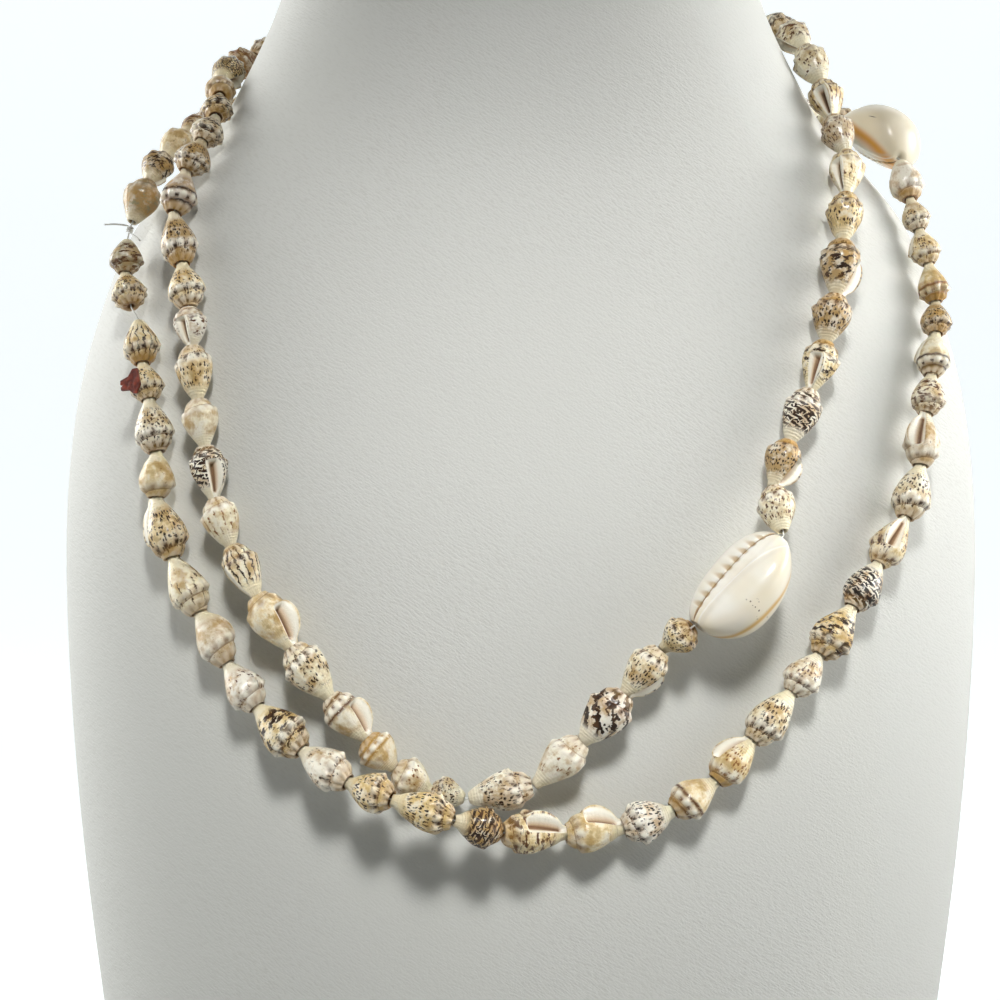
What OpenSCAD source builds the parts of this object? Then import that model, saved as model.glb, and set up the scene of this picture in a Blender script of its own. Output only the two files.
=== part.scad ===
// A long strand of small drilled shells with two ring cowries, knotted into one loop and wound
// twice round a neck bust. Millimetres, +Z up, the front faces -Y, and the origin is the centre
// of the bust's flat underside.

/* [Bust] */
// Height at which the neck's top starts to round off
neck_top = 300; // [285:1:320]
// Rise of the rounded cap on the neck
cap_rise = 8; // [3:1:14]
// Radius of the rounded edge at the foot
foot_round = 2.5; // [1:0.5:4]
// Squareness of the bust's sections, 2 for an ellipse
squareness = 2.3; // [2:0.1:2.6]
// Number of sides of each ring of the bust
bust_sides = 64; // [48:8:80]

/* [Strand] */
// Diameter of the nylon thread
thread_d = 0.6; // [0.4:0.1:0.8]
// Diameter of the hole drilled through each shell
bore_d = 1.3; // [1:0.1:1.6]
// Least clearance between a shell's end and the plane midway to the next one
end_clear = 0.12; // [0.08:0.01:0.3]
// Clearance between the shells and the bust's skin
skin_clear = 0.45; // [0.3:0.05:0.8]

/* [Shells] */
// Radius of a shell's narrow end as a share of its widest radius
narrow_end = 0.36; // [0.3:0.01:0.45]
// Radius of the flat ground at the spire as a share of its widest radius
ground_end = 0.42; // [0.35:0.01:0.5]
// Growth of the outer lip past the widest radius
lip_grow = 1.1; // [1.04:0.01:1.16]
// Angle of the mouth's opening
mouth_angle = 46; // [30:1:60]

/* [Cowries] */
// Length of the front cowrie
front_cowrie_l = 26; // [24:0.5:28]
// Width of the front cowrie
front_cowrie_w = 17.5; // [15:0.5:20]
// Length of the cowrie at the shoulder
shoulder_cowrie_l = 24; // [21:0.5:26]
// Width of the cowrie at the shoulder
shoulder_cowrie_w = 15.5; // [14:0.5:18]
// Height of a cowrie as a share of its width
cowrie_flat = 0.78; // [0.7:0.01:0.85]
// Width of the toothed slot as a share of a cowrie's width
slot_share = 0.1; // [0.07:0.01:0.14]

/* [Knot and chip] */
// Outer diameter of the knot
knot_d = 2.4; // [2.2:0.1:3]
// Length of each cut end of the thread
tail_l = 5.2; // [3:0.1:7]
// Thickness of the red chip
chip_t = 0.7; // [0.5:0.1:1]

/* [Hidden] */

// Sections of the bust: height, half width, depth of the front, depth of the back
SECTIONS = [
    [0, 84, 50, 40],
    [40, 91, 54, 42],
    [90, 97, 57, 43],
    [140, 99.5, 56, 43],
    [172, 97, 51, 43],
    [194, 91, 46, 42],
    [210, 84.5, 42, 40.5],
    [221, 75.5, 39, 39],
    [229, 67.5, 37.5, 38.5],
    [240, 61.5, 36, 37],
    [258, 53, 34, 35],
    [282, 47.5, 33, 33],
    [310, 46.5, 33, 33]
];
S_HEIGHT = 0;
S_WIDTH = 1;
S_FRONT = 2;
S_BACK = 3;

// Route of the strand from the knot: bearing round the bust from the front, height on its skin,
// and how far it is lifted off the skin where it lies over itself
ROUTE = [
    [-64.5, 205.5, 0],
    [-59.5, 193, 0],
    [-51.5, 184, 0],
    [-49, 174, 0],
    [-45, 164, 0],
    [-43.5, 148, 0],
    [-38.5, 132, 0],
    [-30.5, 112.5, 0],
    [-25, 104, 1],
    [-19, 96.5, 4],
    [-13.5, 92.5, 7],
    [-8, 90, 9],
    [-3.5, 86, 6.5],
    [1, 84.5, 2],
    [6.5, 84.5, 0],
    [12, 86.5, 0],
    [17.5, 91.5, 0],
    [22, 98.5, 0],
    [31, 115.5, 0],
    [40, 133, 0],
    [49, 150, 0],
    [52.5, 164, 0],
    [58.5, 179, 0],
    [65, 191, 0],
    [69.5, 206.5, 0],
    [75, 216, 0.5],
    [80, 219.5, 3.5],
    [102, 229, 4],
    [116, 237, 0],
    [130, 241, 0],
    [155, 243.5, 0],
    [180, 249, 0],
    [205, 254, 0],
    [230, 254, 0],
    [248, 249.5, 0],
    [262, 245, 0],
    [276, 240, 0],
    [288, 234.5, 0],
    [296, 227.5, 0],
    [302, 219.5, 0],
    [305, 211.5, 0],
    [312, 200, 0],
    [318, 185, 0],
    [322.5, 165.5, 0],
    [326.5, 145.5, 0],
    [334, 125.5, 0],
    [343, 106.5, 0],
    [349, 95.5, 0],
    [353.5, 91.5, 0],
    [358.5, 91.5, 0],
    [362.5, 96.5, 0],
    [366.5, 106, 0],
    [373.5, 121.5, 2],
    [377, 126.5, 6.5],
    [386, 141, 6.5],
    [385.5, 149, 2],
    [389.5, 162, 0],
    [395.5, 178.5, 0],
    [402, 196.5, 0],
    [407, 208.5, 0],
    [414.5, 217, 0],
    [425, 226, 0],
    [434.5, 235.5, 0],
    [441, 242.5, 0],
    [450, 250, 0],
    [465, 254.5, 0],
    [490, 257, 0],
    [515, 255, 2],
    [527, 252.5, 7],
    [540, 249, 9],
    [553, 245, 7],
    [565, 242.5, 2],
    [588, 239, 0],
    [608, 236, 0],
    [624, 231.5, 0.5],
    [634, 226, 0.5],
    [645, 219, 0],
    [655, 211.5, 0]
];
R_BEARING = 0;
R_HEIGHT = 1;
R_LIFT = 2;

// Shells of the outer round from the knot: bare thread before it, length, girth,
// 1 for the narrow end first, -1 for the wide end first or 0 for a cowrie, and the way its mouth
// faces, 0 for the front, 90 for the outside of the round and 180 for the bust
OUTER_FRONT = [
    [2.5, 8, 7.5, 1, 150],
    [0, 9, 7.5, 1, 180],
    [4, 10.5, 8, 1, 180],
    [0, 8.5, 7.5, 1, 110],
    [0, 11.5, 8.5, 1, 170],
    [0, 9.5, 8, 1, 70],
    [0, 13, 9, 1, 60],
    [0, 12.5, 8.5, 1, 180],
    [0, 12, 8, 1, -150],
    [0, 11, 8.5, 1, 150],
    [0, 13, 9.5, 1, 170],
    [0, 12, 8.5, 1, -160],
    [0, 10, 8.5, 1, 160],
    [0, 13, 8.5, 1, 100],
    [0, 10, 8.5, 1, 180],
    [0, 13, 9, -1, -35],
    [0, 11.5, 9, -1, -60],
    [0, 10.5, 9, -1, 170],
    [0, 10.5, 8.5, -1, -150],
    [0, 11, 8.5, -1, -85],
    [0, 12.5, 8.5, -1, 180],
    [0, 9.5, 8, -1, 160],
    [0, 12, 9, -1, 170],
    [0, 11, 8, -1, 180],
    [0, 11.5, 8, -1, -25],
    [0, 12, 8.5, -1, 160],
    [0, 11.5, 8, -1, -60],
    [0, 9, 7.5, -1, 140],
    [0, 10, 7.5, -1, -130],
    [0, 8, 7, -1, 170],
    [0, 9, 7, -1, 180],
    [0, 8, 7, -1, -140],
    [0, 7.5, 6.5, -1, 160],
    [0, 11, 8, -1, 180],
    [0, shoulder_cowrie_l, 8, 0, 180]
];
// Shells of the inner round from where it comes round the neck, in the same columns
INNER_FRONT = [
    [0, 9, 7, 1, 100],
    [0, 7.5, 7, 1, 150],
    [0, 7.5, 7.5, 1, 170],
    [0, 8, 8, 1, 180],
    [0, 10.5, 8, 1, 160],
    [0, 12.5, 8, 1, 180],
    [0, 10, 8, 1, -150],
    [0, 8.5, 7.5, -1, 10],
    [0, 11.5, 8, -1, 180],
    [0, 10, 8, -1, 170],
    [0, 11, 8, -1, -40],
    [0, 10.5, 8, -1, 170],
    [0, 11.5, 8, -1, 50],
    [0, 12.5, 9.5, -1, -60],
    [0, 12.5, 9, -1, 180],
    [0, 11, 8.5, -1, -65],
    [0, 8, 8.5, -1, 160],
    [0, 8.5, 8, -1, 100],
    [0, 7.5, 7.5, -1, 180],
    [0, 14, 8.5, 1, 180],
    [0, 13, 8.5, 1, 160],
    [0, 12.5, 9.5, 1, 180],
    [0, 11.5, 8.5, 1, 80],
    [0, 8.5, 8, 1, 180],
    [0, front_cowrie_l, 8, 0, -78],
    [0, 12, 8, 1, 180],
    [0, 10.5, 8, 1, 60],
    [0, 12, 8, 1, 170],
    [0, 11, 8, 1, -40],
    [0, 10.5, 8.5, 1, 160],
    [0, 12.5, 9, 1, 60],
    [0, 11.5, 8, 1, 170],
    [0, 12, 8, 1, -80],
    [0, 11, 7.5, 1, 180],
    [0, 11, 8, 1, -90],
    [0, 11.5, 8, 1, 160],
    [0, 12, 8, 1, 180]
];
// Shells of the outer round between the neck and the knot, in the same columns
OUTER_SHOULDER = [
    [0, 8.5, 7, -1, 180],
    [0, 10, 7.5, -1, 160],
    [0, 10, 7.5, -1, 180],
    [0, 11.5, 8.5, -1, 170]
];
B_BARE = 0;
B_LENGTH = 1;
B_GIRTH = 2;
B_WAY = 3;
B_SPIN = 4;
// Length of strand from the knot to the inner round's first shell in front of the neck
inner_start = 571.5;
// Bare thread after the last shell, up to the knot
knot_bare = 1.5;
// Number of shells behind the neck where the strand goes from the outer round to the inner one,
// and where it comes back
low_back_count = 16;
high_back_count = 15;

// Number of turns round the neck
rounds = 2;
// Number of points to each row of the route
fine = 8;
// Height of the strand's middle above the skin that its length is measured at
measure_h = 4.3;
// Height of a shell's middle above the skin as a share of its girth
rest_share = 0.53;
// Girth of the shells behind the neck, its spread, and the spread of their lengths
back_girth = 8;
back_girth_spread = 0.5;
back_length_spread = 0.08;
// Radius of a cowrie's end round its thread hole
cowrie_end_r = 1.6;

function between(v, low, high) = min(max(v, low), high);
function unit(v) = v / norm(v);
function total(v) = len(v) == 0 ? 0 : v * [for (x = v) 1];
function column(rows, c) = [for (r = rows) r[c]];

// Size of the bust at a height, on a smooth curve through the sections
function section_below(z) =
    max([for (i = [0 : len(SECTIONS) - 2]) if (i == 0 || z >= SECTIONS[i][S_HEIGHT]) i]);
function grade(i, c) =
    let (a = SECTIONS[max(i - 1, 0)], b = SECTIONS[min(i + 1, len(SECTIONS) - 1)])
    (b[c] - a[c]) / (b[S_HEIGHT] - a[S_HEIGHT]);
function size_at(z, c) =
    let (
        i = section_below(z),
        a = SECTIONS[i],
        b = SECTIONS[i + 1],
        rise = b[S_HEIGHT] - a[S_HEIGHT],
        f = (z - a[S_HEIGHT]) / rise
    )
    (2 * f ^ 3 - 3 * f ^ 2 + 1) * a[c] + (f ^ 3 - 2 * f ^ 2 + f) * rise * grade(i, c)
        + (3 * f ^ 2 - 2 * f ^ 3) * b[c] + (f ^ 3 - f ^ 2) * rise * grade(i + 1, c);

// Point of the bust's skin at a bearing from the front and a height, and the direction out of it
function rounded(v) = sign(v) * abs(v) ^ (2 / squareness);
function skin(bearing, z) = [
    size_at(z, S_WIDTH) * rounded(sin(bearing)),
    -size_at(z, cos(bearing) > 0 ? S_FRONT : S_BACK) * rounded(cos(bearing)),
    z
];
function outward(bearing, z) =
    unit(cross(skin(bearing + 1, z) - skin(bearing - 1, z), skin(bearing, z + 1) - skin(bearing, z - 1)));

// The strand's route as a closed smooth curve, first by row and then by length from the knot
function route_row(i) =
    let (n = len(ROUTE), turn = floor(i / n))
    ROUTE[i - turn * n] + [360 * rounds * turn, 0, 0];
function smooth(a, b, c, d, f) =
    0.5 * (2 * b + (c - a) * f + (2 * a - 5 * b + 4 * c - d) * f ^ 2 + (3 * b - a - 3 * c + d) * f ^ 3);
function route_at(t) =
    let (i = floor(t))
    smooth(route_row(i - 1), route_row(i), route_row(i + 1), route_row(i + 2), t - i);
function above_skin(t, h) =
    let (r = route_at(t))
    skin(r[R_BEARING], r[R_HEIGHT]) + (h + max(r[R_LIFT], 0)) * outward(r[R_BEARING], r[R_HEIGHT]);
MARKS = [for (i = [0 : len(ROUTE) * fine]) above_skin(i / fine, measure_h)];
function step_l(i) = norm(MARKS[min(i, len(MARKS) - 1)] - MARKS[i - 1]);
MILES = [for (i = 0, s = 0; i < len(MARKS); i = i + 1, s = s + step_l(i))
    [s, i / fine]];
strand_l = MILES[len(MILES) - 1][0];
function strand_point(s, h) = above_skin(lookup(s, MILES), h);
function strand_outward(s) =
    let (r = route_at(lookup(s, MILES)))
    outward(r[R_BEARING], r[R_HEIGHT]);

// Shells behind the neck: they share the hidden stretch, with small changes in size
function back_end(i, count) = i + (i < count ? back_length_spread * sin(137 * i) : 0);
function back_shells(stretch, count) = [
    for (i = [0 : count - 1])
        [0, stretch / count * (back_end(i + 1, count) - back_end(i, count)),
            back_girth + back_girth_spread * sin(71 * i), i % 3 == 0 ? -1 : 1, 180]
];
function rows_l(rows) = total(column(rows, B_BARE)) + total(column(rows, B_LENGTH));
low_back_l = inner_start - rows_l(OUTER_FRONT);
high_back_l = strand_l - knot_bare - rows_l(OUTER_SHOULDER) - rows_l(INNER_FRONT) - inner_start;
BEADS = concat(OUTER_FRONT, back_shells(low_back_l, low_back_count), INNER_FRONT,
    back_shells(high_back_l, high_back_count), OUTER_SHOULDER);
// The inner round's shells, from the middle of one hidden stretch to the middle of the other
first_inner = len(OUTER_FRONT) + low_back_count / 2;
last_inner = len(OUTER_FRONT) + low_back_count + len(INNER_FRONT) + floor(high_back_count / 2) - 1;
shoulder_cowrie_i = len(OUTER_FRONT) - 1;
front_cowrie_i = [for (i = [first_inner : last_inner]) if (BEADS[i][B_WAY] == 0) i][0];
chip_shell_i = 3;

// Both ends of each bead on the thread, and its axis
STARTS = [for (i = 0, s = 0; i < len(BEADS); s = s + BEADS[i][B_BARE] + BEADS[i][B_LENGTH], i = i + 1)
    s + BEADS[i][B_BARE]];
function bead_girth(i) = BEADS[(i + len(BEADS)) % len(BEADS)][B_GIRTH];
function end_height(i) = skin_clear + rest_share * max(bead_girth(i - 1), bead_girth(i));
INS = [for (i = [0 : len(BEADS) - 1]) strand_point(STARTS[i], end_height(i))];
OUTS = [for (i = [0 : len(BEADS) - 1]) strand_point(STARTS[i] + BEADS[i][B_LENGTH], end_height(i + 1))];
AXES = [for (i = [0 : len(BEADS) - 1]) unit(OUTS[i] - INS[i])];
KNOT_AT = strand_point(0, end_height(0));

// Clearance at an end, so that two ends at an angle stay apart
function end_gap(i, j, end_r) =
    let (k = between(j, 0, len(BEADS) - 1))
    end_clear + end_r * tan(acos(between(AXES[i] * AXES[k], -1, 1)) / 2);
function end_r(i, share) = BEADS[i][B_WAY] == 0 ? cowrie_end_r : BEADS[i][B_GIRTH] / 2 * share;
function first_gap(i) = end_gap(i, i - 1, end_r(i, BEADS[i][B_WAY] > 0 ? narrow_end : ground_end));
function last_gap(i) = end_gap(i, i + 1, end_r(i, BEADS[i][B_WAY] > 0 ? ground_end : narrow_end));
function bead_l(i) = norm(OUTS[i] - INS[i]) - first_gap(i) - last_gap(i);

// Places its child on a bead's axis: +Z runs from the narrow end and +X is where the mouth faces
module on_bead(i) {
    first = BEADS[i][B_WAY] >= 0;
    z = first ? AXES[i] : -AXES[i];
    at = first ? INS[i] + first_gap(i) * AXES[i] : OUTS[i] - last_gap(i) * AXES[i];
    out = strand_outward(STARTS[i] + BEADS[i][B_LENGTH] / 2);
    front = unit(out - (out * AXES[i]) * AXES[i]);
    side = cross(AXES[i], front);
    x = cos(BEADS[i][B_SPIN]) * front + sin(BEADS[i][B_SPIN]) * side;
    y = cross(z, x);
    multmatrix([[x.x, y.x, z.x, at.x], [x.y, y.y, z.y, at.y], [x.z, y.z, z.z, at.z]]) children();
}

// Angle that the outer lip covers beside the mouth
lip_angle = 50;
// A drilled shell: its turned body with one step at the seam, the outer lip and the open mouth
module shell(l, girth) {
    r = girth / 2;
    bore_r = bore_d / 2;
    difference() {
        union() {
            rotate_extrude($fn = 32)
                polygon([
                    [bore_r, 0],
                    [narrow_end * r, 0],
                    [0.43 * r, 0.08 * l],
                    [0.65 * r, 0.25 * l],
                    [0.9 * r, 0.42 * l],
                    [r, 0.57 * l],
                    [0.97 * r, 0.67 * l],
                    [0.86 * r, 0.75 * l],
                    [0.8 * r, 0.76 * l],
                    [0.68 * r, 0.87 * l],
                    [ground_end * r, l],
                    [bore_r, l]
                ]);
            rotate_extrude(angle = lip_angle, start = mouth_angle / 2, $fn = 32)
                polygon([
                    [0.3 * r, 0.05 * l],
                    [0.5 * r, 0.05 * l],
                    [0.9 * lip_grow * r, 0.34 * l],
                    [lip_grow * r, 0.52 * l],
                    [0.9 * r, 0.66 * l],
                    [0.5 * r, 0.66 * l]
                ]);
        }
        rotate_extrude(angle = mouth_angle, start = -mouth_angle / 2, $fn = 32)
            polygon([
                [0.42 * r, 0.1 * l],
                [1.3 * r, 0.1 * l],
                [1.3 * r, 0.56 * l],
                [0.8 * r, 0.56 * l],
                [0.55 * r, 0.4 * l]
            ]);
    }
}

module string_of(first, last) {
    for (i = [first : last])
        if (BEADS[i][B_WAY] != 0)
            on_bead(i) shell(bead_l(i), BEADS[i][B_GIRTH]);
}

// A closed body through rings of equal size, as a ring of rings or with two end faces
function wall(rings, sides, closed) = [
    for (i = [0 : rings - (closed ? 1 : 2)], j = [0 : sides - 1])
        let (
            a = i * sides + j,
            b = i * sides + (j + 1) % sides,
            c = ((i + 1) % rings) * sides + (j + 1) % sides,
            d = ((i + 1) % rings) * sides + j
        )
        each [[a, b, c], [a, c, d]]
];
function end_faces(rings, sides) = [
    [for (j = [sides - 1 : -1 : 0]) j],
    [for (j = [0 : sides - 1]) (rings - 1) * sides + j]
];
module skinned(rings, closed = false) {
    n = len(rings);
    sides = len(rings[0]);
    points = [for (ring = rings) each ring];
    faces = concat(wall(n, sides, closed), closed ? [] : end_faces(n, sides));
    polyhedron(points, [for (f = faces) [for (k = [len(f) - 1 : -1 : 0]) f[k]]], convexity = 6);
}
// A ring of points round a path's point, across the direction along it
function ring_about(p, along, up, r, sides) =
    let (u = unit(up - (up * along) * along), v = cross(along, u))
    [for (j = [0 : sides - 1]) p + r * (cos(360 * j / sides) * u + sin(360 * j / sides) * v)];

// A ring cowrie round its thread hole: +Z runs along it and +X is its toothed side
cowrie_rings = 24;
// Bearings round the thread hole of each ring's points on the shell, and of the four in the slot
shell_bearings = [for (j = [0 : 19]) 12 + 336 * j / 19];
slot_bearings = [354, 357.5, 362.5, 366];
// Share of a cowrie's height that lies above its widest line, on its back
back_share = 0.62;
// Depth of the toothed slot as a share of the cowrie's width
slot_depth = 0.1;
// Width of the slot between two teeth, as a share of its width at a tooth
tooth_gap = 0.45;
// Distance of the thread hole from the widest line, as a share of the width
thread_seat = 0.07;
// Share of the whole swell that each drilled end is cut off at
cowrie_cut = 0.015;
function cowrie_swell(t) = (1 - abs(2 * t - 1) ^ 2.3) ^ 0.56 * (1 - 0.13 * (2 * t - 1));
function cowrie_ring(t, z, w, tooth) =
    let (
        swell = cowrie_swell(t),
        back_h = back_share * cowrie_flat * w * swell,
        base_h = (1 - back_share) * cowrie_flat * w * swell,
        slot_w = slot_share * w * tooth * min(1, 2 * swell),
        deep = slot_depth * w * swell ^ 2,
        seat = thread_seat * w * swell
    )
    concat(
        [
            for (a = shell_bearings)
                let (x = cos(a) > 0 ? base_h * cos(a) ^ 0.7 : -back_h * abs(cos(a)))
                [x - seat, w / 2 * swell * sin(a), z]
        ],
        [
            [base_h - seat, -slot_w / 2, z],
            [base_h - seat - deep, -slot_w / 4, z],
            [base_h - seat - deep, slot_w / 4, z],
            [base_h - seat, slot_w / 2, z]
        ]
    );
function hole_ring(z) =
    [for (a = concat(shell_bearings, slot_bearings)) [bore_d / 2 * cos(a), bore_d / 2 * sin(a), z]];
module cowrie(l, w) {
    shell_rings = [
        for (i = [0 : cowrie_rings])
            let (f = (1 - cos(180 * i / cowrie_rings)) / 2)
            cowrie_ring(cowrie_cut + (1 - 2 * cowrie_cut) * f, l * f, w, i % 2 == 0 ? 1 : tooth_gap)
    ];
    skinned(concat(shell_rings, [hole_ring(l), hole_ring(0)]), closed = true);
}

module bust() {
    rows = 34;
    // Each ring has a height and the distance that it is set in from the section
    foot = [for (a = [0 : 30 : 60]) [foot_round * (1 - cos(a)), foot_round * (1 - sin(a))]];
    side = [for (i = [0 : rows]) [foot_round + (neck_top - foot_round) * i / rows, 0]];
    cap = [for (a = [15 : 15 : 90]) [neck_top + cap_rise * sin(a), cap_rise * (1 - cos(a))]];
    color("whitesmoke")
        skinned([
            for (ring = concat(foot, side, cap))
                let (z = min(ring[0], neck_top), keep = 1 - ring[1] / size_at(z, S_BACK))
                [for (j = [0 : bust_sides - 1])
                    let (p = skin(360 * j / bust_sides, z))
                    [keep * p.x, keep * p.y, ring[0]]]
        ]);
}

module thread() {
    sides = 8;
    stops = concat([KNOT_AT], [
        for (i = [0 : len(BEADS) - 1])
            each BEADS[i][B_BARE] > 0 ? [INS[i], OUTS[i]] : [OUTS[i]]
    ]);
    n = len(stops);
    color("gainsboro")
        skinned([
            for (i = [0 : n - 1])
                let (
                    before = unit(stops[i] - stops[(i + n - 1) % n]),
                    after = unit(stops[(i + 1) % n] - stops[i])
                )
                ring_about(stops[i], unit(before + after), [stops[i].x, stops[i].y, 0], thread_d / 2, sides)
        ], closed = true);
}

// The knot is two turns of thread round the strand, and its ends stand out to both sides
module knot() {
    turns = 2;
    steps = 10;
    wire_r = thread_d / 2;
    coil_r = knot_d / 2 - wire_r;
    rise = 1.25 * thread_d;
    along = unit(INS[0] - OUTS[len(BEADS) - 1]);
    out = strand_outward(0);
    front = unit(out - (out * along) * along);
    side = cross(along, front);
    coil = [
        for (k = [0 : turns * steps])
            let (a = 360 * k / steps)
            KNOT_AT + coil_r * (cos(a) * front + sin(a) * side) + rise * (k / steps - turns / 2) * along
    ];
    first_end = coil[0] - tail_l * unit(side + 0.15 * along) + 0.3 * front;
    last_end = coil[turns * steps] + tail_l * unit(side - 0.1 * along) + 0.3 * front;
    path = concat([first_end], coil, [last_end]);
    n = len(path);
    color("gainsboro")
        skinned([
            for (i = [0 : n - 1])
                let (run = unit(path[min(i + 1, n - 1)] - path[max(i - 1, 0)]))
                ring_about(path[i], run, along, wire_r, 8)
        ]);
}

module inner_shells() {
    color("wheat") string_of(first_inner, last_inner);
}

module outer_shells() {
    color("tan") {
        string_of(0, first_inner - 1);
        string_of(last_inner + 1, len(BEADS) - 1);
    }
}

module front_cowrie() {
    color("linen") on_bead(front_cowrie_i) cowrie(bead_l(front_cowrie_i), front_cowrie_w);
}

module shoulder_cowrie() {
    color("moccasin") on_bead(shoulder_cowrie_i) cowrie(bead_l(shoulder_cowrie_i), shoulder_cowrie_w);
}

// Outline of the chip: its notched point and its broken edge
CHIP = [
    [1, 2.7],
    [2.2, 1],
    [2.2, -2.6],
    [1, -2.8],
    [-0.2, -1.5],
    [-2.1, -1.2],
    [-2.3, -0.3],
    [-1.7, 0],
    [-2.3, 0.3],
    [-2.3, 1],
    [-0.5, 1.5],
    [0.2, 2.5]
];
// Which way the chip faces round its shell, how far it stands out beside it, its place along the
// shell and its clearance
chip_spin = -8;
chip_aside = 1.3;
chip_along = 0.62;
chip_clear = 0.15;
module red_chip() {
    i = chip_shell_i;
    color("brown")
        on_bead(i)
            rotate([0, 0, chip_spin - BEADS[i][B_SPIN]])
                translate([bead_girth(i) / 2 + chip_clear, chip_aside, chip_along * bead_l(i)])
                    rotate([90, 0, 90])
                        linear_extrude(chip_t) mirror([1, 0]) polygon(CHIP);
}

bust();
thread();
knot();
inner_shells();
outer_shells();
front_cowrie();
shoulder_cowrie();
red_chip();
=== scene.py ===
# A long strand of small drilled shells and two cowries, wound twice round a neck bust.
# Sizes below are in millimetres unless a note says otherwise.
import math
import random

import bmesh
import bpy
import numpy as np
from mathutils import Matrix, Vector


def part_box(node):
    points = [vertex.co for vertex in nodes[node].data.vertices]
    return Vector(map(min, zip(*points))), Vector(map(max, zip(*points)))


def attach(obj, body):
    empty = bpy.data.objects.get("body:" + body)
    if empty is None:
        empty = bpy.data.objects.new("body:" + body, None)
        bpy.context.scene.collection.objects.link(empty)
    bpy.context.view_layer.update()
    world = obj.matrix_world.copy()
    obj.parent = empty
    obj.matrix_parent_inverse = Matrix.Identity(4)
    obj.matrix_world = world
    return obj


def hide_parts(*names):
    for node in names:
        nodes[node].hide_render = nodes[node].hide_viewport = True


mm = 0.001
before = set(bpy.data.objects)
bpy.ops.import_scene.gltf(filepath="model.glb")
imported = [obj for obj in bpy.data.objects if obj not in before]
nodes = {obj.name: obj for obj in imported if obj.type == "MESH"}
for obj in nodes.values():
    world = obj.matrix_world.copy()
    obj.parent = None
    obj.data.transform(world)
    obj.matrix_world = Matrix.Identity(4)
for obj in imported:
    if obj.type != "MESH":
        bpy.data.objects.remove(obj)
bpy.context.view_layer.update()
scene = bpy.context.scene
print("frame loaded:", ", ".join(sorted(nodes)))


def addToScene(name, data):
    made = bpy.data.objects.new(name, data)
    scene.collection.objects.link(made)
    return made


def tone(red, green, blue):  # 0-255 as seen, to the linear value that a socket takes
    def linear(v):
        v = v / 255
        return v / 12.92 if v < 0.04045 else ((v + 0.055) / 1.055) ** 2.4
    return (linear(red), linear(green), linear(blue), 1.0)


class Wire:  # a shader socket that can be added and multiplied like a number
    def __init__(self, paint, socket):
        self.paint, self.socket = paint, socket

    def sum(self, operation, *values):
        return self.paint.node("ShaderNodeMath", {"operation": operation}, dict(enumerate(values)))

    def __add__(self, other): return self.sum("ADD", self, other)
    def __radd__(self, other): return self + other
    def __sub__(self, other): return self.sum("SUBTRACT", self, other)
    def __rsub__(self, other): return self.sum("SUBTRACT", other, self)
    def __mul__(self, other): return self.sum("MULTIPLY", self, other)
    def __pow__(self, other): return self.sum("POWER", self, other)
    def __abs__(self): return self.sum("ABSOLUTE", self)

    def sine(self): return self.sum("SINE", self)
    def ceil(self): return self.sum("CEIL", self)
    def fract(self): return self.sum("FRACT", self)
    def high(self, other): return self.sum("MAXIMUM", self, other)
    def low(self, other): return self.sum("MINIMUM", self, other)

    def ramp(self, start, end):  # 0 at start, 1 at end, eased
        return self.paint.node("ShaderNodeMapRange", {"interpolation_type": "SMOOTHSTEP"},
                               {"Value": self, "From Min": start, "From Max": end})

    def hump(self, centre, width):  # 1 at the centre, 0 a width away on both sides
        return 1 - abs(self - centre).ramp(0.0, width)


class Paint:  # one procedural material
    def __init__(self, name):
        self.material = bpy.data.materials.new(name)
        self.material.use_nodes = True
        self.tree = self.material.node_tree
        self.tree.nodes.clear()

    def node(self, kind, settings=None, values=None, pick=0):
        made = self.tree.nodes.new(kind)
        for key, value in (settings or {}).items():
            setattr(made, key, value)
        for key, value in (values or {}).items():
            if isinstance(value, Wire):
                self.tree.links.new(value.socket, made.inputs[key])
            else:
                made.inputs[key].default_value = value
        return Wire(self, made.outputs[pick]) if made.outputs else None

    def mix(self, first, second, share):
        return self.node("ShaderNodeMix", {"data_type": "RGBA"}, {0: share, 6: first, 7: second}, 2)

    def layers(self, colour, *coats):  # each coat is a colour and how much of it covers
        for tint, share in coats:
            colour = self.mix(colour, tint, share)
        return colour

    def noise(self, at, scale, detail=2.0, roughness=0.5):
        return self.node("ShaderNodeTexNoise", None,
                         {"Vector": at, "Scale": scale, "Detail": detail, "Roughness": roughness})

    def cells(self, at, scale, feature, randomness, dimensions="2D"):
        return self.node("ShaderNodeTexVoronoi",
                         {"voronoi_dimensions": dimensions, "feature": feature},
                         {"Vector": at, "Scale": scale, "Randomness": randomness})

    def attribute(self, name, pick="Fac"):
        return self.node("ShaderNodeAttribute", {"attribute_name": name}, None, pick)

    def point(self, x, y, z=0.0):
        return self.node("ShaderNodeCombineXYZ", None, {0: x, 1: y, 2: z})

    def parts(self, at):
        first = self.node("ShaderNodeSeparateXYZ", None, {0: at})
        return [Wire(self, socket) for socket in first.socket.node.outputs]

    def objectPoint(self):  # object coordinates in millimetres
        place = self.node("ShaderNodeTexCoord", None, None, "Object")
        return self.node("ShaderNodeMapping", None, {"Vector": place, "Scale": [1 / mm] * 3})

    def bump(self, height, depth, strength):
        return self.node("ShaderNodeBump", None,
                         {"Height": height, "Distance": depth * mm, "Strength": strength})

    def surface(self, colour, roughness, **others):
        values = {"Base Color": colour, "Roughness": roughness}
        values.update({key.replace("_", " "): value for key, value in others.items()})
        shader = self.node("ShaderNodeBsdfPrincipled", None, values)
        self.node("ShaderNodeOutputMaterial", None, {"Surface": shader})
        return self.material


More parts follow.
